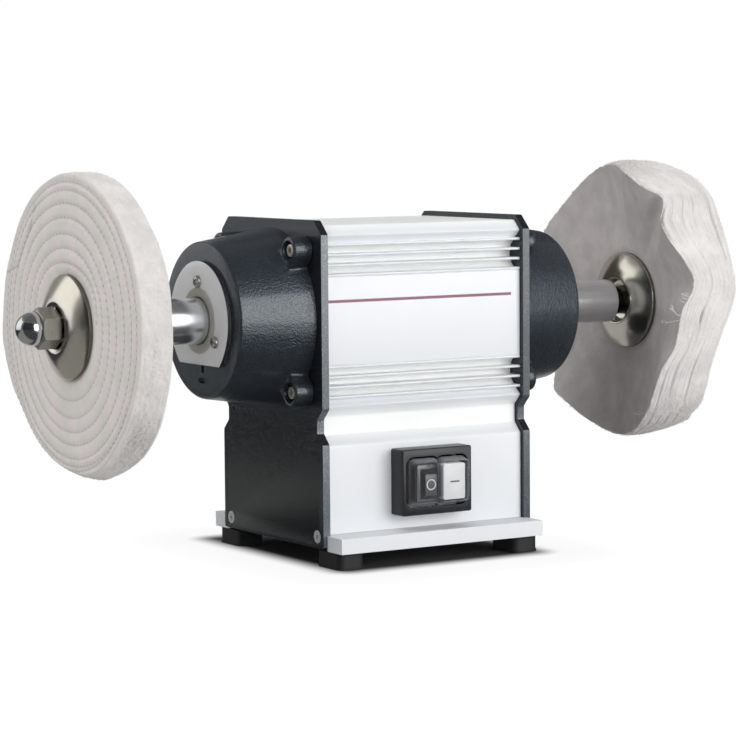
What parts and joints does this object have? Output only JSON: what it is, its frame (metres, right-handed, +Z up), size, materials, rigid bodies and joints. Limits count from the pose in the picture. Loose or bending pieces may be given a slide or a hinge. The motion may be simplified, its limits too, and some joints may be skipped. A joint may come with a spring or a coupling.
{
  "type": "bench polishing machine",
  "caption": "Bench polishing machine: ribbed motor housing on rubber feet, push-button switch, and a shaft with a stitched and a loose cotton buff clamped between flanges.",
  "frame": {"origin": "on the bench, under the middle of the shaft", "axes": "+X along the shaft towards the loose buff, -Y towards the user and the switch, +Z up"},
  "size_m": [0.5508, 0.2, 0.2644],
  "materials": {
    "profile_white": "white powder coat on extruded aluminium",
    "plate_hammered": "dark hammered paint on steel plate",
    "bell_hammered": "dark blue-grey hammered paint on a casting",
    "cover_grey": "fine cast grey, lightly brushed",
    "seal_felt": "matt grey-green sealing ring",
    "sleeve_steel": "fine turned steel",
    "flange_nickel": "warm nickel plate with turning marks",
    "nut_chrome": "polished chrome plate",
    "zinc_steel": "bright zinc plate",
    "black_steel": "black oxide",
    "shaft_steel": "oiled ground steel",
    "bearing_steel": "ground bearing steel",
    "foot_rubber": "matt black moulded rubber",
    "switch_black": "fine grained black plastic",
    "boot_clear": "clear soft skin",
    "button_black": "black plastic with a plain white ring",
    "button_grey": "pale grey plastic with a plain dark bar",
    "module_black": "moulded black plastic",
    "gland_black": "moulded black plastic",
    "cotton_stitched": "white cotton greyed by use, sewn in rings",
    "cotton_loose": "white cotton plies, sewn at the hub only",
    "lamination_steel": "stacked electrical sheet",
    "copper_wire": "enamelled copper",
    "can_aluminium": "drawn aluminium can"
  },
  "bodies": {
    "housing": {"housing_profile": "profile_white", "base_plate": "profile_white", "front_left_foot": "foot_rubber", "left_front_plate_screw": "zinc_steel", "left_bell_screw_front_upper": "black_steel", "left_bell_screw_front_lower": "black_steel", "rear_left_foot": "foot_rubber", "left_rear_plate_screw": "zinc_steel", "left_bell_screw_rear_upper": "black_steel", "left_bell_screw_rear_lower": "black_steel", "left_side_plate": "plate_hammered", "left_end_bell": "bell_hammered", "left_bearing_cover": "cover_grey", "left_cover_screw_1": "zinc_steel", "left_cover_screw_2": "zinc_steel", "left_cover_screw_3": "zinc_steel", "left_shaft_seal": "seal_felt", "left_bearing_outer_race": "bearing_steel", "left_winding": "copper_wire", "front_right_foot": "foot_rubber", "right_front_plate_screw": "zinc_steel", "right_bell_screw_front_upper": "black_steel", "right_bell_screw_front_lower": "black_steel", "rear_right_foot": "foot_rubber", "right_rear_plate_screw": "zinc_steel", "right_bell_screw_rear_upper": "black_steel", "right_bell_screw_rear_lower": "black_steel", "right_side_plate": "plate_hammered", "right_end_bell": "bell_hammered", "right_bearing_cover": "cover_grey", "right_cover_screw_1": "zinc_steel", "right_cover_screw_2": "zinc_steel", "right_cover_screw_3": "zinc_steel", "right_shaft_seal": "seal_felt", "right_bearing_outer_race": "bearing_steel", "right_winding": "copper_wire", "switch_frame": "switch_black", "switch_boot": "boot_clear", "switch_module": "module_black", "stator_core": "lamination_steel", "run_capacitor": "can_aluminium", "cable_gland": "gland_black"},
    "spindle": {"left_bearing_inner_race": "bearing_steel", "left_spacer_sleeve": "sleeve_steel", "left_inner_flange": "flange_nickel", "left_outer_flange": "flange_nickel", "left_jam_nut": "zinc_steel", "left_cap_nut": "nut_chrome", "right_bearing_inner_race": "bearing_steel", "right_spacer_sleeve": "sleeve_steel", "right_inner_flange": "flange_nickel", "right_outer_flange": "flange_nickel", "right_jam_nut": "zinc_steel", "right_cap_nut": "nut_chrome", "motor_shaft": "shaft_steel", "rotor_core": "lamination_steel", "left_stitched_buff": "cotton_stitched", "right_loose_buff": "cotton_loose"},
    "start_button": {"start_button": "button_grey"},
    "stop_button": {"stop_button": "button_black"}
  },
  "joints": [
    {"name": "spindle_spin", "type": "hinge", "parent": "housing", "child": "spindle", "pos_m": [0, 0, 0.1644], "axis": [1, 0, 0], "continuous": true},
    {"name": "start_press", "type": "slide", "parent": "housing", "child": "start_button", "axis": [0, 1, 0], "range_m": [0, 0.003], "stiffness_N_per_m": 600},
    {"name": "stop_press", "type": "slide", "parent": "housing", "child": "stop_button", "axis": [0, 1, 0], "range_m": [0, 0.003], "stiffness_N_per_m": 600}
  ]
}
